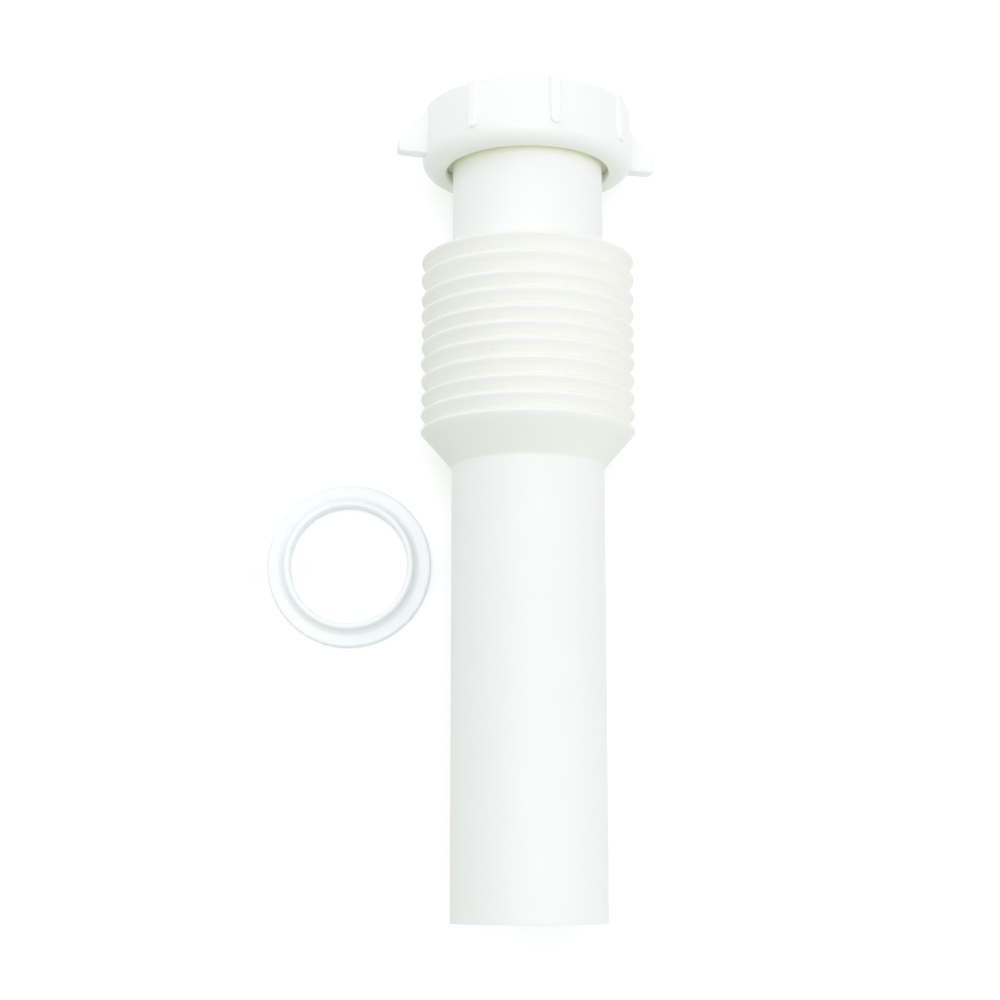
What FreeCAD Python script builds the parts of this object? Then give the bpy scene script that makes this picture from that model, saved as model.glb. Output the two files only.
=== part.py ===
import FreeCAD, Part

import os
from math import cos, hypot, radians, sin

from FreeCAD import Vector

# The pipe lies on a flat surface, +Z up. Its axis is Y, and +Y points out of its inlet.
# The origin is on that axis, in the plane of the flange's sealing face. All sizes are in millimetres.

# Tail pipe: plain runs, wall and flange
PIPE_OD = 38.1
PIPE_WALL = 1.4
INLET_LENGTH = 26.6
OUTLET_LENGTH = 110.9
FLANGE_REACH = 3.45
FLANGE_THICKNESS = 2.2

# Tail pipe: bellows between the inlet and the outlet
FOLD_COUNT = 11
FOLD_PITCH = 4.385
FOLD_RISE = 2.0
FOLD_DEPTH = 1.5
FOLD_STANDOFF = 6.35
SHOULDER_LENGTH = 2.2
CONE_LENGTH = 9.2

# Coupling nut: body, turned about the pipe's axis
NUT_HEIGHT = 16.1
NUT_WALL = 3.1
NUT_DRAFT = 0.5
NUT_SHOULDER = 2.6
NUT_EDGE_RADIUS = 3.5
NUT_EDGE_FACETS = 3
NUT_PLAY = 0.3
HOLE_CLEARANCE = 1.65
RELIEF_CLEARANCE = 1.3
THREAD_CLEARANCE = 0.7
THREAD_LIFT = 0.6
THREAD_LEAD_IN = 1.1

# Coupling nut: grip ribs and the two wings, on equal sectors
GRIP_SECTORS = 8
WING_SECTORS = (2, 6)
GRIP_TURN = 14.2
RIB_WIDTH = 2.6
RIB_HEIGHT = 1.0
RIB_FOOT = 3.9
RIB_EDGE = 0.5
WING_THICKNESS = 3.9
WING_REACH = 7.6
WING_FOOT = 2.9
WING_TIP_HEIGHT = 3.3
WING_DROP = 0.8
WING_EDGE = 0.8

# Sealing washer, and the place where it lies beside the pipe
COLLAR_CLEARANCE = 0.65
COLLAR_WALL = 1.9
COLLAR_HEIGHT = 2.4
COLLAR_EDGE = 0.6
WASHER_THICKNESS = 2.0
WASHER_INSET = 1.2
WASHER_GAP = 5.85
WASHER_BELOW_CONE = 20.6

# Radii
PIPE_R = PIPE_OD / 2
BORE_R = PIPE_R - PIPE_WALL
FLANGE_R = PIPE_R + FLANGE_REACH
VALLEY_R = PIPE_R + FOLD_STANDOFF
CREST_R = VALLEY_R + FOLD_DEPTH
HOLE_R = PIPE_R + HOLE_CLEARANCE
RELIEF_R = FLANGE_R + RELIEF_CLEARANCE
THREAD_R = FLANGE_R + THREAD_CLEARANCE
NUT_RIM_R = THREAD_R + NUT_WALL
NUT_BASE_R = NUT_RIM_R + NUT_DRAFT
COLLAR_R = BORE_R - COLLAR_CLEARANCE
WASHER_HOLE_R = COLLAR_R - COLLAR_WALL
WASHER_R = FLANGE_R - WASHER_INSET

# Levels along the axis, counted from the sealing face
SHOULDER_TOP = -INLET_LENGTH
TOP_CREST = SHOULDER_TOP - SHOULDER_LENGTH
LOW_CREST = TOP_CREST - (FOLD_COUNT - 1) * FOLD_PITCH
CONE_FOOT = LOW_CREST - CONE_LENGTH
OUTLET_END = CONE_FOOT - OUTLET_LENGTH
NUT_SEAT = -FLANGE_THICKNESS - NUT_PLAY
NUT_BASE = NUT_SEAT - NUT_SHOULDER
NUT_RIM = NUT_BASE + NUT_HEIGHT

CENTRE = Vector(0, 0, 0)
AXIS = Vector(0, 1, 0)
UP = Vector(0, 0, 1)
FULL_TURN = 360


def flat_face(points):
    """A face bounded by straight lines through (across, along) points in the plane z = 0."""
    corners = [Vector(across, along, 0) for across, along in points]
    return Part.Face(Part.makePolygon(corners + corners[:1]))


def turned(outline):
    """A ring turned about the pipe's axis from (radius, level) points."""
    return flat_face(outline).revolve(CENTRE, AXIS, FULL_TURN)


def plate(outline, thickness):
    """A radial plate, centred on the plane z = 0, from (radius, level) points."""
    solid = flat_face(outline).extrude(UP * thickness)
    solid.translate(-UP * thickness / 2)
    return solid


def outer_edges(solid, radius):
    """The edges that lie wholly outside that distance from the plane x = 0."""
    return [edge for edge in solid.Edges if edge.BoundBox.XMin > radius + 1e-6]


def fold_points():
    """(radius, level) points of the folds, from the top crest down to the lowest one."""
    points = []
    for fold in range(FOLD_COUNT):
        crest = TOP_CREST - fold * FOLD_PITCH
        points += [(CREST_R, crest), (VALLEY_R, crest - FOLD_PITCH + FOLD_RISE)]
    return points[:-1]


def inside_of(path):
    """The path moved in by the wall, with mitred corners, so that the wall is even in thickness."""
    normals = []
    for (radius, level), (next_radius, next_level) in zip(path, path[1:]):
        length = hypot(next_radius - radius, next_level - level)
        normals.append(((next_level - level) / length, (radius - next_radius) / length))
    moved = []
    for (radius, level), before, after in zip(path, normals[:1] + normals, normals + normals[-1:]):
        mitre = PIPE_WALL / (1 + before[0] * after[0] + before[1] * after[1])
        moved.append((radius + mitre * (before[0] + after[0]), level + mitre * (before[1] + after[1])))
    return moved


def tail_pipe():
    """Inlet, bellows, cone and outlet as one blown wall, with a flange round the inlet's mouth."""
    inlet = [(PIPE_R, 0), (PIPE_R, SHOULDER_TOP)]
    outlet = [(PIPE_R, CONE_FOOT), (PIPE_R, OUTLET_END)]
    wall = inlet + fold_points() + outlet
    flange = [(FLANGE_R, 0), (FLANGE_R, -FLANGE_THICKNESS), (PIPE_R, -FLANGE_THICKNESS)]
    return turned(flange + wall[1:] + inside_of(wall)[::-1])


def nut_edge():
    """Points of the round edge between the nut's wall and its base, from the wall down."""
    turns = [radians(90 * facet / NUT_EDGE_FACETS) for facet in range(NUT_EDGE_FACETS + 1)]
    radius = NUT_BASE_R - NUT_EDGE_RADIUS
    level = NUT_BASE + NUT_EDGE_RADIUS
    return [(radius + NUT_EDGE_RADIUS * cos(turn), level - NUT_EDGE_RADIUS * sin(turn)) for turn in turns]


def nut_body():
    """Threaded ring with a round edge and an inturned shoulder at its base, and a lead-in at its rim."""
    bore = [
        (HOLE_R, NUT_BASE), (HOLE_R, NUT_SEAT), (RELIEF_R, NUT_SEAT), (RELIEF_R, THREAD_LIFT),
        (THREAD_R, THREAD_LIFT), (THREAD_R, NUT_RIM - THREAD_LEAD_IN), (THREAD_R + THREAD_LEAD_IN, NUT_RIM),
    ]
    return turned([(NUT_RIM_R, NUT_RIM)] + nut_edge() + bore)


def grip_root():
    """Radius at which ribs and wings start, inside the nut's wall."""
    return NUT_RIM_R - NUT_WALL / 2


def rib():
    """One upright grip rib, parallel to the drafted wall, with eased outer edges."""
    root = grip_root()
    bar = plate([
        (root, NUT_RIM), (NUT_RIM_R + RIB_HEIGHT, NUT_RIM),
        (NUT_BASE_R + RIB_HEIGHT, NUT_BASE + RIB_FOOT), (root, NUT_BASE + RIB_FOOT),
    ], RIB_WIDTH)
    uprights = [edge for edge in outer_edges(bar, root) if edge.BoundBox.ZLength < RIB_EDGE]
    return bar.makeFillet(RIB_EDGE, [edge for edge in uprights if edge.BoundBox.YLength > RIB_EDGE])


def wing():
    """One finger wing: a plate with a level underside and a top that slopes up to the rim."""
    root = grip_root()
    tip = NUT_RIM_R + WING_REACH
    foot = NUT_BASE + WING_FOOT
    fin = plate([
        (root, foot), (tip, foot), (tip, foot + WING_TIP_HEIGHT),
        (NUT_RIM_R, NUT_RIM - WING_DROP), (root, NUT_RIM - WING_DROP),
    ], WING_THICKNESS)
    return fin.makeFillet(WING_EDGE, outer_edges(fin, NUT_RIM_R))


def coupling_nut():
    """Nut body with a rib or a wing on every sector."""
    grips = []
    for sector in range(GRIP_SECTORS):
        grip = wing() if sector in WING_SECTORS else rib()
        grip.rotate(CENTRE, AXIS, GRIP_TURN - 90 + sector * FULL_TURN / GRIP_SECTORS)
        grips.append(grip)
    return nut_body().multiFuse(grips).removeSplitter()


def sealing_washer():
    """Flat ring with a collar for the pipe's bore, lying on its flat face beside the pipe."""
    ring = turned([
        (WASHER_HOLE_R, 0), (WASHER_R, 0), (WASHER_R, WASHER_THICKNESS), (COLLAR_R, WASHER_THICKNESS),
        (COLLAR_R, WASHER_THICKNESS + COLLAR_HEIGHT - COLLAR_EDGE),
        (COLLAR_R - COLLAR_EDGE, WASHER_THICKNESS + COLLAR_HEIGHT),
        (WASHER_HOLE_R, WASHER_THICKNESS + COLLAR_HEIGHT),
    ])
    ring.rotate(CENTRE, Vector(1, 0, 0), 90)
    ring.translate(Vector(-PIPE_R - WASHER_GAP - WASHER_R, CONE_FOOT - WASHER_BELOW_CONE, -CREST_R))
    return ring


NODES = {"tail_pipe": tail_pipe, "coupling_nut": coupling_nut, "sealing_washer": sealing_washer}

os.makedirs("parts", exist_ok=True)
for name, make in NODES.items():
    make().exportStep(f"parts/{name}.step")
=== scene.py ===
from math import radians

import bpy
import numpy as np
from mathutils import Matrix, Vector


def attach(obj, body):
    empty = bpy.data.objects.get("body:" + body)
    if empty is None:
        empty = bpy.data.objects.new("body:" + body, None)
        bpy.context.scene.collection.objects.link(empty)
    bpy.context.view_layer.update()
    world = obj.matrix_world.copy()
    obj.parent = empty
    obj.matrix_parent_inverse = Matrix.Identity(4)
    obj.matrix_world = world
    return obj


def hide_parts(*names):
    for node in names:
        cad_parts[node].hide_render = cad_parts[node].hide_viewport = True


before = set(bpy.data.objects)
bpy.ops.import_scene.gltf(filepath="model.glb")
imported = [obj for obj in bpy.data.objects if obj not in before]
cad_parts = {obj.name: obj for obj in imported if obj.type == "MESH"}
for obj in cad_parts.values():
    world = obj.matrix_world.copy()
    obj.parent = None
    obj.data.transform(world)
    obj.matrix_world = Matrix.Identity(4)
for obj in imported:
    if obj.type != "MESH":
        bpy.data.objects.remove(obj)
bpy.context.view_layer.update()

# Sizes are in millimetres, as in the solids, and levels count along the axis from the sealing face
MM = 0.001

# Tail pipe: plain runs, wall and flange
PIPE_R = 19.05
PIPE_WALL = 1.4
INLET_LENGTH = 26.6
OUTLET_LENGTH = 110.9
FLANGE_R = 22.5
FLANGE_THICKNESS = 2.2
CREST_R = 26.9
SHOULDER_LENGTH = 2.2
CONE_LENGTH = 9.2
FOLD_COUNT = 11
FOLD_PITCH = 4.385
SHOULDER_TOP = -INLET_LENGTH
TOP_CREST = SHOULDER_TOP - SHOULDER_LENGTH
CONE_FOOT = TOP_CREST - (FOLD_COUNT - 1) * FOLD_PITCH - CONE_LENGTH
OUTLET_END = CONE_FOOT - OUTLET_LENGTH

# Folds: the steep flank faces the nut, the long flank is hollow, and each crest has settled out of step
FOLD_RISE = 0.75
FOLD_DEPTH = 1.95
KNEE_RUN = 0.45
KNEE_DROP = 0.5
CREST_ROUND = 0.5
KNEE_ROUND = 2.0
VALLEY_ROUND = 0.4
INNER_FOLD_ROUND = 0.4
FOLD_SETTLE = (0, -0.3, -1.1, -0.8, -0.8, -0.3, -0.1, -0.2, -0.4, -0.1, 0)

# Rounded edges of the tail pipe, outside and inside
FLANGE_ROUND = 0.3
NECK_ROUND = 0.5
SHOULDER_ROUND = 0.9
CONE_FOOT_ROUND = 1.1
INNER_CONE_ROUND = 1.0
CUT_EDGE_ROUND = 0.12
MOUTH_ROUND = 0.25

# Coupling nut: body and bore; the guide radius is where the base's line starts towards the hole
NUT_PLAY = 0.3
NUT_SHOULDER = 2.6
NUT_HEIGHT = 16.1
NUT_SEAT = -FLANGE_THICKNESS - NUT_PLAY
NUT_BASE = NUT_SEAT - NUT_SHOULDER
NUT_RIM = NUT_BASE + NUT_HEIGHT
NUT_RIM_R = 26.3
NUT_DRAFT = 0.5
NUT_EDGE = 3.5
HOLE_R = 20.7
RELIEF_R = 23.8
RIM_ROUND = 0.4
HOLE_GUIDE_R = 24.3
HOLE_ROUND = 0.5
SEAT_ROUND = 0.4
GROOVE_ROUND = 0.2
SQUARE_ROUND = 0.01

# Coupling nut: thread, with the shares of a pitch that its flank and its flat crest take
THREAD_R = 23.2
THREAD_DEPTH = 1.1
THREAD_FOOT = 0.6
THREAD_PITCH = 2.209
THREAD_FLANK = 0.35
THREAD_FLAT = 0.2
RIM_LIP = 0.25

# Coupling nut: ribs and wings on equal sectors
GRIP_TURN = 14.2
GRIP_SECTORS = 8
WING_SECTORS = (2, 6)
RIB_HALF = 1.3
RIB_HEIGHT = 1.0
RIB_FOOT = NUT_BASE + 3.9
RIB_EDGE = 0.5
RIB_FOOT_BLEND = 2.4
WING_HALF = 1.95
WING_TIP_R = 33.9
WING_FOOT = NUT_BASE + 2.9
WING_TIP_TOP = WING_FOOT + 3.3
WING_TOP = NUT_RIM - 0.8
WING_EDGE = 0.8
WING_TIP_ROUND = 1.0

# Sealing washer, and the place where it lies beside the pipe
WASHER_R = 21.3
WASHER_THICKNESS = 2.0
WASHER_HOLE_R = 15.1
COLLAR_R = 17.0
COLLAR_TOP = 4.4
COLLAR_DRAFT = 0.15
COLLAR_ROOT = 0.9
COLLAR_ROOT_ROUND = 2.0
COLLAR_LIP_ROUND = 0.8
WASHER_HOLE_ROUND = 0.3
WASHER_FOOT_ROUND = 0.35
WASHER_RIM_ROUND = 0.7
WASHER_GAP = 5.85
WASHER_BELOW_CONE = 20.6
WASHER_X = -PIPE_R - WASHER_GAP - WASHER_R
WASHER_Y = CONE_FOOT - WASHER_BELOW_CONE
FLOOR_LEVEL = -CREST_R

# How finely the grids are divided; a set of rows is a first level, a last level and a count
PIPE_COLUMNS = 168
WASHER_COLUMNS = 192
PIPE_ARC_STEPS = 6
NUT_ARC_STEPS = 6
WASHER_ARC_STEPS = 8
NUT_EDGE_STEPS = 13
WING_FOOT_STEPS = 5
GRIP_GAP_COLUMNS = 10
GRIP_GAP_SPREAD = 1.6
GRIP_STEP = 0.06
FOOT_STEP = 0.04
LEVEL_TOLERANCE = 1e-6
THREAD_ROWS = 66
THREAD_ROW_INSET = 0.02
WING_COLUMN_LIFT = 0.3
LONGEST_TANGENT = 0.46
GUARD_SHARE = 0.3
RIM_ROWS = (10.4, 9.6, 2)
WALL_ROWS = (8.8, 2.4, 7)
FOOT_ROWS = (2.0, -1.0, 11)
SHARP_ANGLE = 38

# Plastics: main and mottle colour, roughness, and weight and depth in metres of light under the surface
PIPE_COLOURS = (0.93, 0.938, 0.935), (0.917, 0.927, 0.92)
PIPE_ROUGHNESS = 0.52
PIPE_SCATTER = (0.25, 0.0025)
NUT_COLOURS = (0.972, 0.978, 0.981), (0.957, 0.966, 0.964)
NUT_ROUGHNESS = 0.36
NUT_SCATTER = (0.5, 0.0045)
WASHER_COLOURS = (0.952, 0.99, 1.0), (0.94, 0.983, 0.998)
WASHER_ROUGHNESS = 0.33
WASHER_SCATTER = (0.2, 0.0006)
PLASTIC_IOR = 1.49

# Painted light on the wall: a painted shade, darker and yellower, on the folds and the cone, and a painted
# warm glow round a ring in the gap between nut and inlet
FOLD_PAINTED_SHADE = (0.922, 0.925, 0.875)
GAP_PAINTED_GLOW = (0.985, 0.988, 0.84)
SHOULDER_FADE = 1.5
CONE_FADE = 1.0
CREST_FADE = (0.8, 0.1)
CREST_SHADE_SHARE = 0.25
GAP_RING_R = 20.4
GAP_RING_LEVEL = -4.0
GAP_CORE = 1.6
GAP_FADE = 3.2

# Speck of dirt on a fold
SPECK_PLACE = (-8.68, -57.56, 24.09)
SPECK_REACH = 0.6
SPECK_CORE = 0.18
SPECK_COLOUR = (0.85, 0.853, 0.806)

# Moulded skin: waves per metre of its three patterns, the spread of its gloss, and its relief in metres
MOTTLE_SCALE = 55.0
RIPPLE_SCALE = 160.0
GRAIN_SCALE = 1500.0
PATTERN_DETAIL = 3.0
RIPPLE_DETAIL = 2.0
MOTTLE_RANGE = (0.35, 0.7)
RIPPLE_RANGE = (0.3, 0.7)
GLOSS_SPREAD = (-0.05, 0.07)
RIPPLE_HEIGHT = 6.0
SKIN_RELIEF = 2e-6

# Stage, in metres: a white floor and surround, and soft lamps (place, size, power) that face its middle
STAGE_MIDDLE = (0.0, -0.09, 0.0)
FLOOR_DROP = 0.00002
FLOOR_HALF = 0.65
FLOOR_GREY = 0.86
FLOOR_LIFT = 0.3
FLOOR_ROUGHNESS = 0.9
SURROUND_LEVEL = 0.605
SURROUND_TINT = (0.895, 1.0, 0.855)
LAMP_TINT = (0.929, 0.822, 1.0)
LAMPS = {
    "overhead": ((0.0, -0.04, 1.3), 0.7, 5.05),
    "right": ((1.1, -0.09, 0.75), 0.9, 3.2),
    "upper": ((0.0, 1.01, 0.75), 0.9, 0.9),
    "upper_left": ((-0.77, 0.68, 0.7), 0.8, 2.8),
    "lower_right": ((0.71, -0.86, 0.77), 0.8, 1.1),
}

# Camera: place in metres, direction, and lens in millimetres
CAMERA_PLACE = (-0.007, -0.18145, 0.4895)
CAMERA_FORWARD = (0.0, 0.184, -0.983)
CAMERA_LENS = 72.2
CAMERA_SENSOR = 36.0
CAMERA_CLIP = (0.01, 50.0)


def rounded(corners, radii, steps):
    """Closed outline with an arc at every corner: the arc's centre lies on the corner's bisector at
    radius / sin(half angle), it runs between the two tangent points, and one guard point on each side
    keeps the straight stretches flat."""
    corners, radii = np.array(corners, float), np.array(radii, float)
    back, ahead = np.roll(corners, 1, 0) - corners, np.roll(corners, -1, 0) - corners
    back_run, ahead_run = np.linalg.norm(back, axis=1), np.linalg.norm(ahead, axis=1)
    back, ahead = back / back_run[:, None], ahead / ahead_run[:, None]
    half = np.arccos(np.clip((back * ahead).sum(1), -1, 1)) / 2
    tangent = np.minimum(radii / np.tan(half), LONGEST_TANGENT * np.minimum(back_run, ahead_run))
    radii = tangent * np.tan(half)
    bisector = (back + ahead) / np.linalg.norm(back + ahead, axis=1)[:, None]
    centre = corners + bisector * (radii / np.sin(half))[:, None]
    first = corners + back * tangent[:, None] - centre
    last = corners + ahead * tangent[:, None] - centre
    start = np.arctan2(first[:, 1], first[:, 0])
    sweep = np.arctan2(last[:, 1], last[:, 0]) - start
    sweep = (sweep + np.pi) % (2 * np.pi) - np.pi
    turn = start[:, None] + sweep[:, None] * np.linspace(0, 1, steps)
    arcs = centre[:, None] + radii[:, None, None] * np.stack([np.cos(turn), np.sin(turn)], -1)
    guard_back = corners + back * (tangent + GUARD_SHARE * (back_run / 2 - tangent))[:, None]
    guard_ahead = corners + ahead * (tangent + GUARD_SHARE * (ahead_run / 2 - tangent))[:, None]
    return np.concatenate([guard_back[:, None], arcs, guard_ahead[:, None]], 1).reshape(-1, 2)


def full_turn(columns):
    """Equal angles once round, in radians."""
    return np.linspace(0, 2 * np.pi, columns, endpoint=False)


def quarter_turn(steps):
    """Angles from 0 to a right angle, in radians."""
    return np.linspace(0, np.pi / 2, steps)


def about_pipe_axis(radius, level, turn):
    """Points at that radius and level, turned about Y from +Z towards +X."""
    radius, level, turn = np.broadcast_arrays(radius, level, turn)
    return np.stack([radius * np.sin(turn), level, radius * np.cos(turn)], -1)


def make_piece(name, points, body, node, material):
    """A closed skin from a grid that wraps round both ways; the sign of its volume turns the faces out."""
    rows, columns = points.shape[:2]
    index = np.arange(rows * columns).reshape(rows, columns)
    below, beside = np.roll(index, -1, 0), np.roll(index, -1, 1)
    faces = np.stack([index, beside, np.roll(below, -1, 1), below], -1).reshape(-1, 4)
    flat = points.reshape(-1, 3) * MM
    a, b, c, d = (flat[faces[:, k]] for k in range(4))
    volume = (a * np.cross(b, c)).sum() + (a * np.cross(c, d)).sum()
    if volume < 0:
        faces = faces[:, ::-1]
    mesh = bpy.data.meshes.new(name)
    mesh.from_pydata(flat, [], faces)
    mesh.shade_smooth()
    mesh.set_sharp_from_angle(angle=radians(SHARP_ANGLE))
    mesh.materials.append(material)
    piece = bpy.data.objects.new(name, mesh)
    bpy.context.scene.collection.objects.link(piece)
    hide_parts(node)
    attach(piece, body)
    return piece


def inside_of(path):
    """The open path moved in by the wall: each corner moves by wall * (n1 + n2) / (1 + n1 . n2)."""
    step = np.diff(path, axis=0)
    step /= np.linalg.norm(step, axis=1)[:, None]
    normal = np.stack([step[:, 1], -step[:, 0]], -1)
    before, after = np.vstack([normal[:1], normal]), np.vstack([normal, normal[-1:]])
    return path + PIPE_WALL * (before + after) / (1 + (before * after).sum(1))[:, None]


def fold_corners(crest_r):
    """Sharp corners of the folds, from the top crest down to the lowest one: crest, knee part of the way
    down the long flank, and valley just above the next crest."""
    crest = TOP_CREST - FOLD_PITCH * np.arange(FOLD_COUNT) + np.array(FOLD_SETTLE)
    valley = crest[1:] + FOLD_RISE
    knee = crest[:-1] + KNEE_RUN * (valley - crest[:-1])
    levels = np.stack([crest[:-1], knee, valley], -1)
    radii = np.array([crest_r, CREST_R - KNEE_DROP * FOLD_DEPTH, CREST_R - FOLD_DEPTH])
    folds = np.stack(np.broadcast_arrays(radii, levels), -1).reshape(-1, 2)
    return np.vstack([folds, [(crest_r, crest[-1])]])


def pipe_outline(crest_r):
    """Closed section of the pipe's wall: flange, inlet, folds, cone and outlet, then back up inside."""
    folds = fold_corners(crest_r)
    inlet = [(PIPE_R, 0), (PIPE_R, SHOULDER_TOP)]
    wall = np.vstack([inlet, folds, [(PIPE_R, CONE_FOOT), (PIPE_R, OUTLET_END)]])
    flange = [(FLANGE_R, 0), (FLANGE_R, -FLANGE_THICKNESS), (PIPE_R, -FLANGE_THICKNESS)]
    corners = np.vstack([flange, wall[1:], inside_of(wall)[::-1]])
    fold_rounds = [CREST_ROUND, KNEE_ROUND, VALLEY_ROUND] * (FOLD_COUNT - 1) + [CREST_ROUND]
    flange_rounds = [FLANGE_ROUND, FLANGE_ROUND, NECK_ROUND]
    outer = [SHOULDER_ROUND, *fold_rounds, CONE_FOOT_ROUND, CUT_EDGE_ROUND]
    inner_folds = [INNER_FOLD_ROUND] * len(fold_rounds)
    inner = [CUT_EDGE_ROUND, INNER_CONE_ROUND, *inner_folds, SHOULDER_ROUND, MOUTH_ROUND]
    return rounded(corners, flange_rounds + outer + inner, PIPE_ARC_STEPS)


def tail_pipe(material):
    """The section turned about the pipe's axis; its sharp crests stand proud by what their rounding takes
    off, so that the round ones reach CREST_R."""
    short = CREST_R - pipe_outline(CREST_R)[:, 0].max()
    outline = pipe_outline(CREST_R + short)
    outline[:, 0] = np.minimum(outline[:, 0], CREST_R)
    points = about_pipe_axis(outline[:, :1], outline[:, 1:], full_turn(PIPE_COLUMNS)[None])
    return make_piece("tail_pipe_skin", points, "pipe", "tail_pipe", material)


def grip_columns(half, edge, tip_r, root_r):
    """Angles across one sector, in radians, and how far the grip's face drops there, in millimetres: flat,
    then a quarter round of radius edge, then no grip. Columns beside a grip crowd towards it by a power."""
    bend = quarter_turn(NUT_ARC_STEPS)
    across = np.concatenate([[0, (half - edge) / 2], half - edge + edge * np.sin(bend)])
    drop = np.concatenate([[0, 0], edge * (1 - np.cos(bend))])
    inside = np.arcsin(across / tip_r)
    root = np.arcsin((half + GRIP_STEP) / root_r)
    limit = np.pi / GRIP_SECTORS
    share = np.linspace(0, 1, GRIP_GAP_COLUMNS, endpoint=False) ** GRIP_GAP_SPREAD
    outside = root + (limit - root) * share
    angle = np.concatenate([inside, outside])
    drop = np.concatenate([drop, np.full(outside.size, np.inf)])
    return np.concatenate([-angle[:0:-1], angle]), np.concatenate([drop[:0:-1], drop])


def nut_columns():
    """Angles of all columns round the nut, the drop of the grip's face in each, and which are on a wing."""
    rib = grip_columns(RIB_HALF, RIB_EDGE, NUT_RIM_R + RIB_HEIGHT, NUT_RIM_R)
    wing = grip_columns(WING_HALF, WING_EDGE, WING_TIP_R - WING_EDGE / 2, NUT_RIM_R + WING_COLUMN_LIFT)
    turns, drops, winged = [], [], []
    for sector in range(GRIP_SECTORS):
        angle, drop = wing if sector in WING_SECTORS else rib
        turns.append(radians(GRIP_TURN + sector * 360 / GRIP_SECTORS) + angle)
        drops.append(drop)
        winged.append(np.full(angle.size, sector in WING_SECTORS))
    return np.concatenate(turns), np.concatenate(drops), np.concatenate(winged)


def nut_body_radius(level):
    """Drafted wall above the base's round edge, then that edge's quarter circle."""
    bend = NUT_BASE + NUT_EDGE
    wall = NUT_RIM_R + NUT_DRAFT * (NUT_RIM - level) / (NUT_RIM - bend)
    arc = NUT_RIM_R + NUT_DRAFT - NUT_EDGE + np.sqrt(np.maximum(NUT_EDGE ** 2 - (level - bend) ** 2, 0))
    return np.where(level >= bend, wall, arc)


def smooth_min(a, b, width):
    """The lower of two curves, with their crossing rounded over that width."""
    share = np.clip(0.5 + 0.5 * (b - a) / width, 0, 1)
    return b + (a - b) * share - width * share * (1 - share)


def wing_reach(level):
    """Radius of the wing's outline: a round lower corner, an upright tip, and a slope up to the wall."""
    low = np.clip(WING_FOOT + WING_EDGE - level, 0, WING_EDGE)
    tip = WING_TIP_R - WING_EDGE + np.sqrt(WING_EDGE ** 2 - low ** 2)
    slope = WING_TIP_R - (level - WING_TIP_TOP) * (WING_TIP_R - NUT_RIM_R) / (WING_TOP - WING_TIP_TOP)
    return np.where(level >= WING_FOOT - LEVEL_TOLERANCE, smooth_min(tip, slope, WING_TIP_ROUND), 0)


def nut_outside_levels():
    """Levels of the rows down the nut's outside, closer together where a rib, a wing or the base ends."""
    bend = NUT_BASE + NUT_EDGE
    arc = bend - NUT_EDGE * np.sin(quarter_turn(NUT_EDGE_STEPS))
    wing_foot = WING_FOOT + WING_EDGE * (1 - np.cos(quarter_turn(WING_FOOT_STEPS)))
    rib_foot = RIB_FOOT + FOOT_STEP * np.array([3, 0, -1])
    wall = [np.linspace(*rows) for rows in (RIM_ROWS, WALL_ROWS, FOOT_ROWS)]
    stops = [WING_TOP, WING_FOOT - FOOT_STEP]
    return np.unique(np.round(np.concatenate([stops, rib_foot, *wall, wing_foot, arc]), 4))[::-1]


def rib_foot_lift(level, turn, winged):
    """How far rows from just below the ribs' foot up move in each column, so that the foot is a half round:
    half width minus the root of (half width squared minus distance squared), fading out above the foot."""
    sector = 2 * np.pi / GRIP_SECTORS
    offset = (turn - radians(GRIP_TURN) + sector / 2) % sector - sector / 2
    across = np.minimum(np.abs(offset) * (NUT_RIM_R + RIB_HEIGHT), RIB_HALF)
    lift = np.where(winged, 0, RIB_HALF - np.sqrt(RIB_HALF ** 2 - across ** 2))
    fade = np.clip((sector / 2 - np.abs(offset)) / (sector / 4), 0, 1)
    from_foot_up = level > RIB_FOOT - 1.25 * FOOT_STEP
    above = np.clip(1 - (level - RIB_FOOT) / RIB_FOOT_BLEND, 0, 1) * from_foot_up
    return above[:, None] * (lift * fade)[None]


def thread_radius(level, turn):
    """Right-handed trapezoidal ridges: the distance from the ridge line within one pitch, cut to a flat
    crest and root, sets the depth; the lead-in cone at the mouth cuts the last turn away."""
    phase = (level / THREAD_PITCH - turn / (2 * np.pi)) % 1
    groove = np.clip((0.5 - np.abs(phase - 0.5)) / THREAD_FLANK - THREAD_FLAT, 0, 1)
    lead_in = THREAD_R + level - (NUT_RIM - THREAD_DEPTH)
    return np.maximum(THREAD_R + THREAD_DEPTH * groove, lead_in)


def nut_outside(turn, drop, winged):
    """Radii and levels of the nut's outside: the larger of the wall and the grip's face, from the round rim
    down to the base, with the ribs' feet lifted to a half round."""
    quarter = quarter_turn(NUT_ARC_STEPS)
    rows = nut_outside_levels()
    level = np.concatenate([NUT_RIM - RIM_ROUND + RIM_ROUND * np.cos(quarter), rows])
    body = np.concatenate([NUT_RIM_R - RIM_ROUND + RIM_ROUND * np.sin(quarter), nut_body_radius(rows)])
    rib = np.where(level >= RIB_FOOT - LEVEL_TOLERANCE, body + RIB_HEIGHT, 0)
    face = np.where(winged[None], wing_reach(level)[:, None], rib[:, None]) - drop[None]
    return np.maximum(body[:, None], face), level[:, None] + rib_foot_lift(level, turn, winged)


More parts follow.
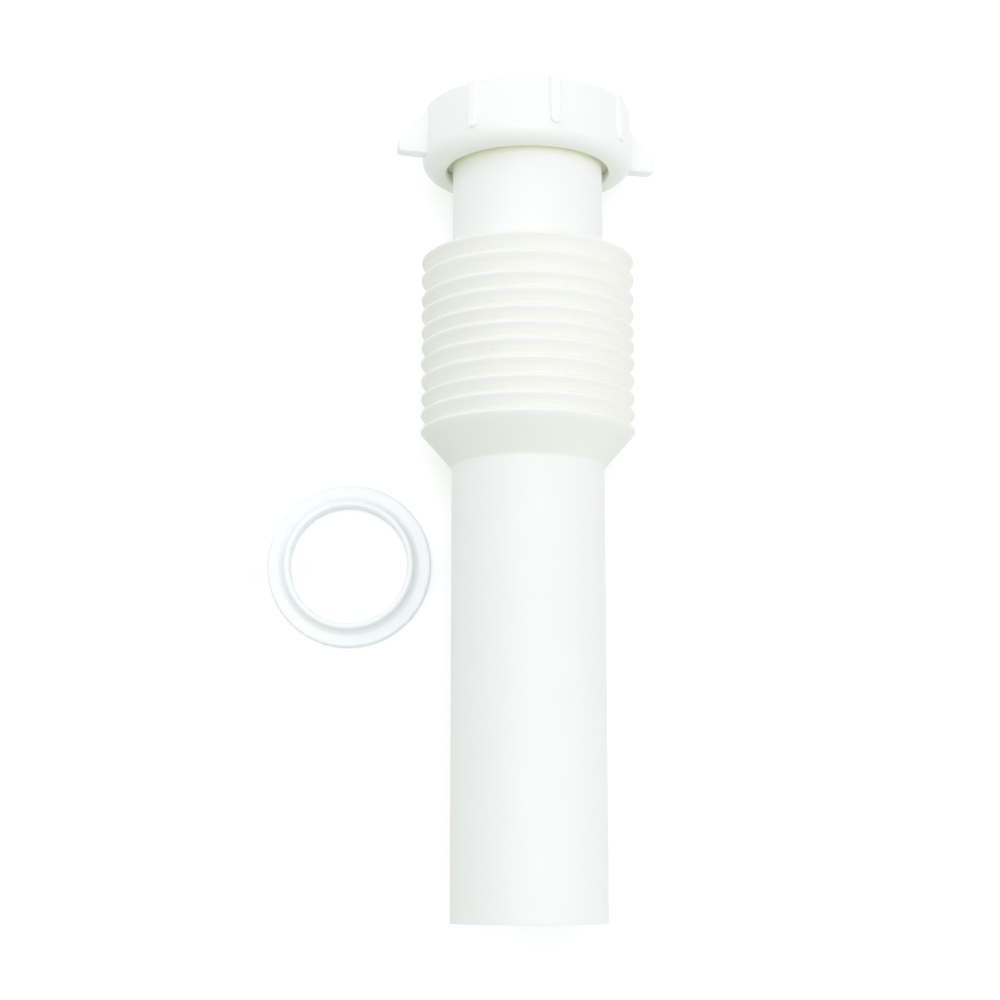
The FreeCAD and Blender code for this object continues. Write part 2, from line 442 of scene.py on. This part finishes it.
def nut_hole():
    """(radius, level) points from the base through the hole, over the seat and up the groove; the two end
    corners only lead in and out, so their points are cut off."""
    corners = [
        (HOLE_GUIDE_R, NUT_BASE), (HOLE_R, NUT_BASE), (HOLE_R, NUT_SEAT), (RELIEF_R, NUT_SEAT),
        (RELIEF_R, THREAD_FOOT), (NUT_RIM_R, THREAD_FOOT),
    ]
    rounds = [SQUARE_ROUND, HOLE_ROUND, SEAT_ROUND, SEAT_ROUND, GROOVE_ROUND, SQUARE_ROUND]
    ends = NUT_ARC_STEPS + 3
    return rounded(corners, rounds, NUT_ARC_STEPS)[ends:-ends]


def coupling_nut(material):
    """One grid round the nut's section: down the outside, through the hole, over the seat and the groove,
    up the thread and back over the rim."""
    turn, drop, winged = nut_columns()
    outside, outside_level = nut_outside(turn, drop, winged)
    hole = nut_hole()
    thread_level = np.linspace(THREAD_FOOT + THREAD_ROW_INSET, NUT_RIM - THREAD_ROW_INSET, THREAD_ROWS)
    thread = thread_radius(thread_level[:, None], turn[None])
    rim_inside = np.array([[THREAD_R + THREAD_DEPTH + RIM_LIP, NUT_RIM]])
    plain = np.ones((1, turn.size))
    radius = np.vstack([outside, hole[:, :1] * plain, thread, rim_inside[:, :1] * plain])
    inside_level = np.concatenate([hole[:, 1], thread_level, rim_inside[:, 1]])[:, None] * plain
    points = about_pipe_axis(radius, np.vstack([outside_level, inside_level]), turn[None])
    return make_piece("coupling_nut_skin", points, "nut", "coupling_nut", material)


def sealing_washer(material):
    """The washer's rounded section turned about an upright axis."""
    outline = rounded(
        [(WASHER_HOLE_R, 0), (WASHER_R, 0), (WASHER_R, WASHER_THICKNESS),
         (COLLAR_R + COLLAR_ROOT, WASHER_THICKNESS), (COLLAR_R, WASHER_THICKNESS + COLLAR_ROOT),
         (COLLAR_R - COLLAR_DRAFT, COLLAR_TOP), (WASHER_HOLE_R, COLLAR_TOP)],
        [WASHER_HOLE_ROUND, WASHER_FOOT_ROUND, WASHER_RIM_ROUND, COLLAR_ROOT_ROUND, COLLAR_ROOT_ROUND,
         COLLAR_LIP_ROUND, COLLAR_LIP_ROUND], WASHER_ARC_STEPS)
    turn = full_turn(WASHER_COLUMNS)
    radius, height = outline[:, :1], outline[:, 1:]
    points = np.stack(np.broadcast_arrays(
        WASHER_X + radius * np.cos(turn), WASHER_Y + radius * np.sin(turn), FLOOR_LEVEL + height), -1)
    return make_piece("sealing_washer_skin", points, "pipe", "sealing_washer", material)


def link(tree, start, end):
    """Joins an output socket to an input socket."""
    tree.links.new(start, end)


def noise_node(tree, vector, scale, detail):
    """Noise on object coordinates; scale is in waves per metre."""
    node = tree.nodes.new("ShaderNodeTexNoise")
    node.inputs["Scale"].default_value = scale
    node.inputs["Detail"].default_value = detail
    link(tree, vector, node.inputs["Vector"])
    return node.outputs["Fac"]


def range_node(tree, value, low, high, to_low, to_high):
    """Maps a value from one range to another, held at both ends."""
    node = tree.nodes.new("ShaderNodeMapRange")
    for socket, number in zip(("From Min", "From Max", "To Min", "To Max"), (low, high, to_low, to_high)):
        node.inputs[socket].default_value = number
    link(tree, value, node.inputs["Value"])
    return node.outputs["Result"]


def math_node(tree, operation, *values):
    """One arithmetic step on sockets or plain numbers."""
    node = tree.nodes.new("ShaderNodeMath")
    node.operation = operation
    for socket, value in zip(node.inputs, values):
        if isinstance(value, (int, float)):
            socket.default_value = value
        else:
            link(tree, value, socket)
    return node.outputs[0]


def distance_node(tree, first, second):
    """Root of the sum of two squares."""
    squares = [math_node(tree, "MULTIPLY", value, value) for value in (first, second)]
    return math_node(tree, "SQRT", math_node(tree, "ADD", *squares))


def colour_mix(tree, factor, first, second):
    """First colour where the factor is 0, second where it is 1; 6, 7 and 2 are the colour sockets."""
    node = tree.nodes.new("ShaderNodeMix")
    node.data_type = "RGBA"
    link(tree, factor, node.inputs["Factor"])
    for socket, value in ((node.inputs[6], first), (node.inputs[7], second)):
        if isinstance(value, tuple):
            socket.default_value = (*value, 1)
        else:
            link(tree, value, socket)
    return node.outputs[2]


def new_group(name, inputs, outputs):
    """An empty shader group with those sockets; returns its tree, its input node and its output node."""
    tree = bpy.data.node_groups.new(name, "ShaderNodeTree")
    for direction, sockets in (("INPUT", inputs), ("OUTPUT", outputs)):
        for socket, kind in sockets.items():
            tree.interface.new_socket(socket, in_out=direction, socket_type=f"NodeSocket{kind}")
    return tree, tree.nodes.new("NodeGroupInput"), tree.nodes.new("NodeGroupOutput")


def moulded_skin_group():
    """Shared moulded surface: soft mottling between two colours, uneven gloss, and a fine grain as height."""
    tree, given, result = new_group(
        "moulded_skin",
        {"Vector": "Vector", "Main Color": "Color", "Mottle Color": "Color", "Roughness": "Float"},
        {"Color": "Color", "Roughness": "Float", "Height": "Float"})
    vector = given.outputs["Vector"]
    patches = noise_node(tree, vector, MOTTLE_SCALE, PATTERN_DETAIL)
    mottle = range_node(tree, patches, *MOTTLE_RANGE, 0.0, 1.0)
    grain = noise_node(tree, vector, GRAIN_SCALE, PATTERN_DETAIL)
    ripple = noise_node(tree, vector, RIPPLE_SCALE, RIPPLE_DETAIL)
    colour = colour_mix(tree, mottle, given.outputs["Main Color"], given.outputs["Mottle Color"])
    uneven = range_node(tree, ripple, *RIPPLE_RANGE, *GLOSS_SPREAD)
    gloss = math_node(tree, "ADD", given.outputs["Roughness"], uneven)
    height = math_node(tree, "MULTIPLY_ADD", ripple, RIPPLE_HEIGHT, grain)
    link(tree, colour, result.inputs["Color"])
    link(tree, gloss, result.inputs["Roughness"])
    link(tree, height, result.inputs["Height"])
    return tree


def painted_wall_light_group():
    """Painted light on the wall about the pipe's axis: a painted shade on the folds and the cone, by level,
    which fades on the crests so that they stay paler, and a painted warm glow round the gap between nut and
    inlet, by distance from a ring in that gap."""
    tree, given, result = new_group(
        "painted_wall_light",
        {"Vector": "Vector", "Color": "Color", "Fold Color": "Color", "Gap Color": "Color"},
        {"Color": "Color"})
    parts = tree.nodes.new("ShaderNodeSeparateXYZ")
    link(tree, given.outputs["Vector"], parts.inputs[0])
    x, level, z = parts.outputs
    radius = distance_node(tree, x, z)
    top_low, top_high = (SHOULDER_TOP - SHOULDER_FADE) * MM, (SHOULDER_TOP + SHOULDER_FADE) * MM
    foot_low, foot_high = (CONE_FOOT - CONE_FADE) * MM, (CONE_FOOT + CONE_FADE) * MM
    crest_low, crest_high = ((CREST_R - inset) * MM for inset in CREST_FADE)
    below_top = range_node(tree, level, top_low, top_high, 1.0, 0.0)
    above_foot = range_node(tree, level, foot_low, foot_high, 0.0, 1.0)
    off_crest = range_node(tree, radius, crest_low, crest_high, 1.0, CREST_SHADE_SHARE)
    # Painted shade on the folds and the cone, fading on the crests
    folds = math_node(tree, "MULTIPLY", math_node(tree, "MULTIPLY", below_top, above_foot), off_crest)
    # Painted warm glow round a ring in the gap between nut and inlet
    out = math_node(tree, "SUBTRACT", radius, GAP_RING_R * MM)
    along = math_node(tree, "SUBTRACT", level, GAP_RING_LEVEL * MM)
    gap = range_node(tree, distance_node(tree, out, along), GAP_CORE * MM, GAP_FADE * MM, 1.0, 0.0)
    folded = colour_mix(tree, folds, given.outputs["Color"], given.outputs["Fold Color"])
    link(tree, colour_mix(tree, gap, folded, given.outputs["Gap Color"]), result.inputs["Color"])
    return tree


def add_group(tree, group, vector, **colours):
    """A group node on that vector, with its constant colours set."""
    node = tree.nodes.new("ShaderNodeGroup")
    node.node_tree = group
    link(tree, vector, node.inputs["Vector"])
    for socket, colour in colours.items():
        node.inputs[socket.replace("_", " ")].default_value = (*colour, 1)
    return node


def with_speck(tree, vector, colour):
    """The colour with a round speck of dirt on it, which fades out with the distance from its place."""
    distance = tree.nodes.new("ShaderNodeVectorMath")
    distance.operation = "DISTANCE"
    distance.inputs[1].default_value = [value * MM for value in SPECK_PLACE]
    link(tree, vector, distance.inputs[0])
    cover = range_node(tree, distance.outputs["Value"], SPECK_CORE * MM, SPECK_REACH * MM, 1.0, 0.0)
    return colour_mix(tree, cover, colour, SPECK_COLOUR)


def plastic(name, colours, roughness, scatter, with_painted_light=False, speckled=False):
    """A moulded plastic: the shared skin feeds colour, roughness and bump of one shader; the wall's painted
    shade and painted glow and the speck of dirt may follow."""
    material = bpy.data.materials.new(name)
    material.use_nodes = True
    tree = material.node_tree
    shader = tree.nodes["Principled BSDF"]
    shader.inputs["IOR"].default_value = PLASTIC_IOR
    shader.inputs["Subsurface Radius"].default_value = (1.0, 1.0, 1.0)
    for socket, value in zip(("Subsurface Weight", "Subsurface Scale"), scatter):
        shader.inputs[socket].default_value = value
    where = tree.nodes.new("ShaderNodeTexCoord").outputs["Object"]
    skin = add_group(tree, moulded_skin, where, Main_Color=colours[0], Mottle_Color=colours[1])
    skin.inputs["Roughness"].default_value = roughness
    colour = skin.outputs["Color"]
    # Painted shade on the folds and the cone, and a painted warm glow in the gap between nut and inlet
    if with_painted_light:
        tint = add_group(tree, painted_wall_light, where, Fold_Color=FOLD_PAINTED_SHADE, Gap_Color=GAP_PAINTED_GLOW)
        link(tree, colour, tint.inputs["Color"])
        colour = tint.outputs["Color"]
    if speckled:
        colour = with_speck(tree, where, colour)
    relief = tree.nodes.new("ShaderNodeBump")
    relief.inputs["Strength"].default_value = 1.0
    relief.inputs["Distance"].default_value = SKIN_RELIEF
    link(tree, colour, shader.inputs["Base Color"])
    link(tree, skin.outputs["Roughness"], shader.inputs["Roughness"])
    link(tree, skin.outputs["Height"], relief.inputs["Height"])
    link(tree, relief.outputs["Normal"], shader.inputs["Normal"])
    return material


def seen_directly(tree):
    """1 for rays that come from the camera, from a mirror-like surface or through a clear one, else 0."""
    path = tree.nodes.new("ShaderNodeLightPath")
    total = path.outputs["Is Camera Ray"]
    for name in ("Is Glossy Ray", "Is Transmission Ray"):
        total = math_node(tree, "MAXIMUM", total, path.outputs[name])
    return total


def white_surround():
    """A white surround: full white where it is seen, and a tinted soft level as light."""
    world = bpy.data.worlds.new("surround")
    bpy.context.scene.world = world
    world.use_nodes = True
    tree = world.node_tree
    background = tree.nodes["Background"]
    seen = seen_directly(tree)
    link(tree, colour_mix(tree, seen, SURROUND_TINT, (1.0, 1.0, 1.0)), background.inputs["Color"])
    link(tree, range_node(tree, seen, 0, 1, SURROUND_LEVEL, 1.0), background.inputs["Strength"])


def pale_floor():
    """A flat white floor that keeps the shadow, lifted to white where it is seen."""
    mesh = bpy.data.meshes.new("floor")
    level = FLOOR_LEVEL * MM - FLOOR_DROP
    corners = np.array([(-1, -1, 0), (1, -1, 0), (1, 1, 0), (-1, 1, 0)]) * FLOOR_HALF + (0, 0, level)
    mesh.from_pydata(corners, [], [(0, 1, 2, 3)])
    floor = bpy.data.objects.new("floor", mesh)
    bpy.context.scene.collection.objects.link(floor)
    material = bpy.data.materials.new("floor_white")
    material.use_nodes = True
    tree = material.node_tree
    shader = tree.nodes["Principled BSDF"]
    shader.inputs["Base Color"].default_value = (FLOOR_GREY, FLOOR_GREY, FLOOR_GREY, 1)
    shader.inputs["Roughness"].default_value = FLOOR_ROUGHNESS
    shader.inputs["Specular IOR Level"].default_value = 0.0
    shader.inputs["Emission Color"].default_value = (1, 1, 1, 1)
    lift = range_node(tree, seen_directly(tree), 0, 1, 0.0, FLOOR_LIFT)
    link(tree, lift, shader.inputs["Emission Strength"])
    mesh.materials.append(material)


def soft_lamp(name, place, size, power):
    """A square area lamp at a place, facing the middle of the stage."""
    lamp = bpy.data.lights.new(name, "AREA")
    lamp.size = size
    lamp.energy = power
    lamp.color = LAMP_TINT
    holder = bpy.data.objects.new(name, lamp)
    holder.location = place
    towards = Vector(STAGE_MIDDLE) - Vector(place)
    holder.rotation_euler = towards.to_track_quat("-Z", "Y").to_euler()
    bpy.context.scene.collection.objects.link(holder)


def photo_camera():
    """A camera above the pipe, a little towards its outlet, with the pipe upright in the picture."""
    data = bpy.data.cameras.new("camera")
    data.lens = CAMERA_LENS
    data.sensor_width = CAMERA_SENSOR
    data.clip_start, data.clip_end = CAMERA_CLIP
    camera = bpy.data.objects.new("camera", data)
    right = Vector((1, 0, 0))
    forward = Vector(CAMERA_FORWARD).normalized()
    up = right.cross(forward)
    turn = Matrix((right, up, -forward)).transposed().to_4x4()
    camera.matrix_world = Matrix.Translation(CAMERA_PLACE) @ turn
    bpy.context.scene.collection.objects.link(camera)
    bpy.context.scene.camera = camera


moulded_skin = moulded_skin_group()
painted_wall_light = painted_wall_light_group()

pipe_white = plastic("pipe_white", PIPE_COLOURS, PIPE_ROUGHNESS, PIPE_SCATTER, with_painted_light=True, speckled=True)
nut_white = plastic("nut_white", NUT_COLOURS, NUT_ROUGHNESS, NUT_SCATTER, with_painted_light=True)
washer_milky = plastic("washer_milky", WASHER_COLOURS, WASHER_ROUGHNESS, WASHER_SCATTER)

tail_pipe(pipe_white)
coupling_nut(nut_white)
sealing_washer(washer_milky)

white_surround()
pale_floor()
for lamp_name, lamp_values in LAMPS.items():
    soft_lamp(lamp_name, *lamp_values)
photo_camera()

bpy.context.scene.view_settings.view_transform = "Standard"
